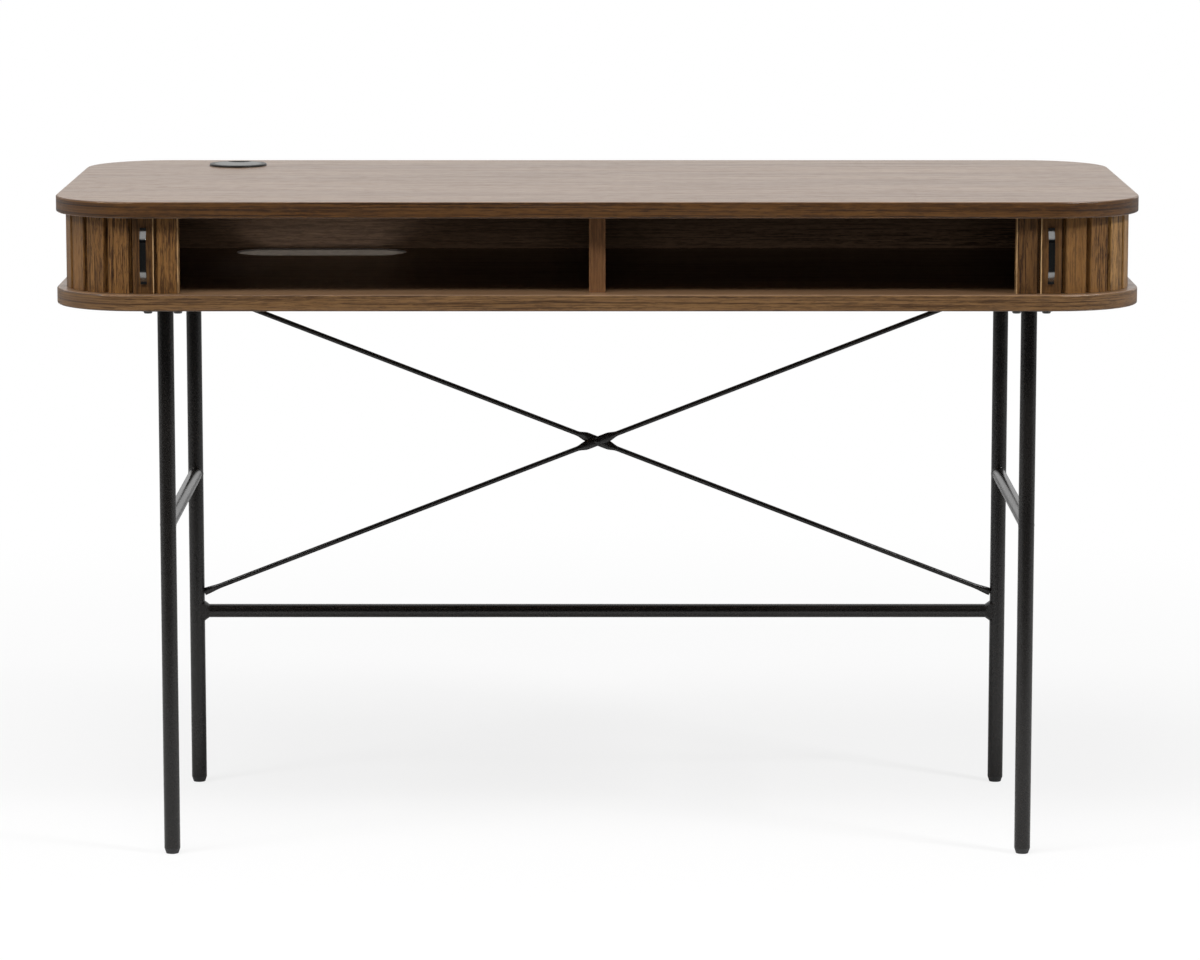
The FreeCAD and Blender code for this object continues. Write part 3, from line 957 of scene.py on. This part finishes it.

# %% [markdown]
# ## Dressing the frame
# Every CAD node takes the finish of its material slot, unless it has one of its own. A few slats
# are darker strips, the last two of the right door carry painted light in a paler walnut, and the
# new pieces get the finish of what they replace.

# %% Dress the CAD nodes
SLOT_FINISH = {
    "walnut_board": base_wood,
    "walnut_slat": slat_wood,
    "dowel_wood": dowel_wood,
    "black_canvas": canvas_cloth,
    "satin_metal": cap_satin,
    "black_powder_coat": black_coat,
    "plated_steel": plated_steel,
    "foot_plastic": foot_plastic,
}
OWN_FINISH = {
    "top_board": top_wood,
    "back_panel": panel_wood,
    "left_cheek": panel_wood,
    "right_cheek": panel_wood,
    "centre_divider": divider_wood,
    "grommet_ring": ring_satin,
}
SLAT_TONE = {
    "left_handle_slat": slat_dark,
    "right_lead_slat": slat_dark,
    "right_handle_slat": slat_dark,
    # painted light: the last two right-door slats are paler where the right lamp falls
    "right_slat_05": slat_painted_light,
    "right_slat_06": slat_painted_light,
}
slot_of = {row["node"]: row["material_slot"] for row in frame["record"]["subparts"]}


def dress(obj, *materials):
    obj.data.materials.clear()
    for material in materials:
        obj.data.materials.append(material)


for node, slot_name in slot_of.items():
    plain = SLAT_TONE.get(node, SLOT_FINISH[slot_name])
    dress(bpy.data.objects[node], OWN_FINISH.get(node, plain))
for piece in brace_rods + [brace_rivet, weld_beads]:
    dress(piece, black_coat)
dress(socket_bolts, bolt_plating)
for strap in handles:
    dress(strap, handle_plate)
print("dressed", len(slot_of), "nodes")

# %% [markdown]
# The long cable slot in the bottom board is cut after veneering, and its wall is sealed with a grey
# lacquer that catches the light from below. The top few millimetres of the wall are painted almost
# black, a painted shadow line along the slot's upper edge. The board's node keeps its mesh, and only
# the faces inside the slot point at a second material.

# %% Slot wall
SLOT_X = -326 * MM
SLOT_Y = 185 * MM
SLOT_HALF_L = 100.5 * MM
SLOT_HALF_W = 39.5 * MM
COMPARTMENT_Z = 640 * MM
SHADE_DEPTH = 2.6 * MM
SEALED_CLOUDS = (90, 90, 400)
SEALED_LOW = (0.205, 0.172, 0.140)
SEALED_HIGH = (0.265, 0.222, 0.180)
# painted shadow: near-black colour for the top of the slot wall
SLOT_TOP_SHADE = (0.020, 0.012, 0.008)


def sealed_edge():
    finish = Finish("sealed_slot_edge")
    x, y, z = finish.place()
    cloud = finish.noise((x, y, z), SEALED_CLOUDS, 3.0)
    lacquer = finish.ramp(cloud, (0.3, SEALED_LOW), (0.7, SEALED_HIGH))
    # painted shadow along the top of the wall, where it meets the compartment floor
    top_shade = finish.step(z, COMPARTMENT_Z - SHADE_DEPTH, COMPARTMENT_Z - SHADE_DEPTH / 2)
    finish.set(Base_Color=finish.mix(top_shade * 0.9, lacquer, SLOT_TOP_SHADE))
    finish.set(Roughness=0.55 + cloud * 0.15)
    finish.set(Normal=finish.bump(cloud, 0.0002, 0.5))
    return finish.material


def in_slot(face):
    beside = abs(face.center.x - SLOT_X) < SLOT_HALF_L and abs(face.center.y - SLOT_Y) < SLOT_HALF_W
    return beside and abs(face.normal.z) < 0.5


bottom = bpy.data.objects["bottom_board"]
bottom.data.materials.append(sealed_edge())
slot_faces = [face for face in bottom.data.polygons if in_slot(face)]
for face in slot_faces:
    face.material_index = 1
print("slot wall faces:", len(slot_faces))

# %% [markdown]
# A single slat's node holds two closed shells, the wooden strip and the thin canvas glued behind
# it. They could be told apart by their place, but the slats of the bend all face another way. The
# canvas is the plain one with fewer faces, so faces that share corners are gathered into shells,
# and the smaller shell points at the canvas.

# %% Canvas behind the single slats
MICRONS = 1e6


def loose_shells(mesh):
    # joins faces by the place of their corners, because the CAD triangles are loose
    parent = {}

    def find(a):
        while parent[a] != a:
            parent[a] = parent[parent[a]]
            a = parent[a]
        return a

    corners = [tuple(round(c * MICRONS) for c in v.co) for v in mesh.vertices]
    for corner in corners:
        parent.setdefault(corner, corner)
    for face in mesh.polygons:
        first = find(corners[face.vertices[0]])
        for v in face.vertices[1:]:
            parent[find(corners[v])] = first
    groups = {}
    for face in mesh.polygons:
        groups.setdefault(find(corners[face.vertices[0]]), []).append(face.index)
    return list(groups.values())


for node in slot_of:
    if "_slat_0" in node:
        obj = bpy.data.objects[node]
        dress(obj, SLAT_TONE.get(node, slat_wood), canvas_cloth)
        shells = sorted(loose_shells(obj.data), key=len)
        if len(shells) == 2:
            for index in shells[0]:
                obj.data.polygons[index].material_index = 1
        print(node, [len(shell) for shell in shells])

# %% [markdown]
# On the first two slats of each door, the chamfer and the side that look towards the middle of
# the desk are painted in a much paler walnut. This is a painted highlight, the thin bright line
# those edges catch from the side lamps, and only that one side of each slat has it. The faces are
# found by their normals and point at the paler walnut.

# %% Painted highlight on the inner edges of the first slats
EDGE_HIGHLIGHT_NORMAL = 0.3
EDGE_HIGHLIGHT_TONES = ((0.130, 0.068, 0.026), (0.420, 0.250, 0.108), (0.580, 0.380, 0.190))

# painted highlight: a much paler walnut for the slat edges that face the middle of the desk
edge_highlight_wood = walnut_strip("walnut_rubbed_edge", EDGE_HIGHLIGHT_TONES)
for hand, inward in (("left", 1), ("right", -1)):
    for node in (hand + "_lead_slat", hand + "_handle_slat"):
        obj = bpy.data.objects[node]
        dress(obj, SLAT_TONE.get(node, slat_wood), edge_highlight_wood)
        # the chamfer and side that face the middle of the desk get the painted highlight
        edges = [face for face in obj.data.polygons if face.normal.x * inward > EDGE_HIGHLIGHT_NORMAL]
        for face in edges:
            face.material_index = 1
        print(node, "painted highlight faces:", len(edges))

# %% [markdown]
# ## Floor
# The desk stands in a white studio. A floor lit up to white would burn the desk, so the floor is
# pale paint that keeps the shadow, and a Light Path node blends it with plain white for the camera.
# Well in front of the desk the paint is dark, as if a black cloth lay there, because the grips of
# the handles mirror a dark room.

# %% Floor
WHITE = (1.0, 1.0, 1.0)
FLOOR_SIZE = 60
FLOOR_DROP = 0.5 * MM
HAZE_WAVES = (2, 2, 1)
PALE_LOW = (0.68, 0.68, 0.68)
PALE_HIGH = (0.70, 0.70, 0.70)
CLOTH = (0.02, 0.02, 0.02)
CLOTH_START, CLOTH_FULL = 0.8, 1.5
WHITE_NEAR = 0.80
NEAR, FAR = 0.7, 2.2

clear_selection()
bpy.ops.mesh.primitive_plane_add(size=FLOOR_SIZE, location=(0, 0, -FLOOR_DROP))
floor = bpy.context.object
floor.name = "studio_floor"
settle(floor)
paint = Finish("studio_floor_paint")
x, y, z = paint.place()
pale = paint.mix(paint.noise((x, y, 0.0), HAZE_WAVES, 2.0), PALE_LOW, PALE_HIGH)
in_front = paint.step(0 - y, CLOTH_START, CLOTH_FULL)
paint.set(Base_Color=paint.mix(in_front, pale, CLOTH), Roughness=0.9)
away = (x * x + y * y).root()
white_share = WHITE_NEAR + paint.step(away, NEAR, FAR) * (1 - WHITE_NEAR)
to_camera = paint.node("ShaderNodeLightPath", out="Is Camera Ray")
glow = paint.node("ShaderNodeEmission", {}, {"Color": WHITE, "Strength": 1.0})
painted = Wire(paint, paint.shader.outputs[0])
blend = paint.node("ShaderNodeMixShader", {}, {0: to_camera * white_share, 1: painted, 2: glow})
paint.feed(paint.tree.nodes["Material Output"].inputs[0], blend)
dress(floor, paint.material)
print("floor at", -FLOOR_DROP, "m")

# %% [markdown]
# ## Sky
# The sky is white to the camera and through glass, and it only lights the desk dimly, so that
# colours come out as written. An even sky would also turn the polished handles white. So what
# reflections see is bright behind and above the desk, where the worktop mirrors it, and dark in front.

# %% Sky
SKY_FRONT = 0.14
SKY_BACK = 0.36
GLOSS_FRONT = 0.015
BACK_START, BACK_FULL = -0.25, 0.6

world = bpy.data.worlds.new("studio_sky")
bpy.context.scene.world = world
world.use_nodes = True
sky = Graph(world.node_tree)
wx, wy, wz = sky.split(sky.node("ShaderNodeTexCoord", out="Generated"))
from_back = sky.step(wy * 0.7 + wz * 0.7, BACK_START, BACK_FULL)
to_camera, to_gloss, to_glass = sky.node(
    "ShaderNodeLightPath", out=("Is Camera Ray", "Is Glossy Ray", "Is Transmission Ray"))
seen = to_camera.larger(to_glass)
fill = SKY_FRONT + from_back * (SKY_BACK - SKY_FRONT)
mirrored = GLOSS_FRONT + from_back * (1 - GLOSS_FRONT)
level = seen + (1 - seen) * (to_gloss * mirrored + (1 - to_gloss) * fill)
background = world.node_tree.nodes["Background"]
sky.feed(background.inputs["Color"], WHITE)
sky.feed(background.inputs["Strength"], level)
print("sky", SKY_FRONT, "to", SKY_BACK)

# %% [markdown]
# ## Soft boxes
# Four area lamps do what a studio's soft boxes do. A sun would give hard shadows on the slats. The
# two big boxes are hidden from reflections, because their squares would show in the rims and the
# handles. A card works the other way: it lights no matt surface and is only there to be mirrored.


# %% Soft boxes
def soft_box(name, place, aim, size, power):
    lamp = bpy.data.lights.new(name, "AREA")
    lamp.shape = "RECTANGLE"
    lamp.size, lamp.size_y = size
    lamp.energy = power
    box = bpy.data.objects.new(name, lamp)
    bpy.context.collection.objects.link(box)
    box.location = place
    box.rotation_euler = (Vector(aim) - Vector(place)).to_track_quat("-Z", "Y").to_euler()
    return box


top_box = soft_box("top_box", (-0.7, -1.8, 4.0), (0, -0.1, 0.66), (2.4, 1.6), 130)
top_box.visible_glossy = False
soft_box("right_box", (2.7, -1.6, 2.9), (0.4, -0.2, 0.66), (0.6, 0.5), 88)
soft_box("left_box", (-2.7, -1.6, 2.9), (-0.4, -0.2, 0.66), (0.8, 0.7), 58)
front_box = soft_box("front_box", (0.0, -6.6, 1.3), (0, 0, 0.68), (2.0, 1.0), 48)
front_box.visible_glossy = False
white_card = soft_box("white_card", (0.0, -2.1, 4.0), (0, -0.26, 0.70), (3.2, 2.2), 10)
white_card.visible_diffuse = False
print("lamps:", [lamp.name for lamp in bpy.data.lights])

# %% [markdown]
# ## Camera
# The camera stands far off with a long lens, level with a standing person's chest, and looks down
# by a few degrees. A lens shift would keep the legs upright in the picture, but it stays when the
# camera moves round the desk, so the camera is tilted instead.

# %% Camera
CAMERA_AT = (0.0, -5.6594, 1.2559)
LOOK_DOWN = 0.1509
LENS = 148.92
SENSOR = 36
SHIFT_X = 0.0023

eye = bpy.data.cameras.new("desk_camera")
eye.sensor_width = SENSOR
eye.lens = LENS
eye.shift_x = SHIFT_X
camera = bpy.data.objects.new("desk_camera", eye)
bpy.context.collection.objects.link(camera)
camera.location = CAMERA_AT
camera.rotation_euler = (math.pi / 2 - LOOK_DOWN, 0, 0)
bpy.context.scene.camera = camera
bpy.context.scene.view_settings.view_transform = "Standard"
print("lens", LENS, "mm, down", round(math.degrees(LOOK_DOWN), 1), "degrees")

# %% [markdown]
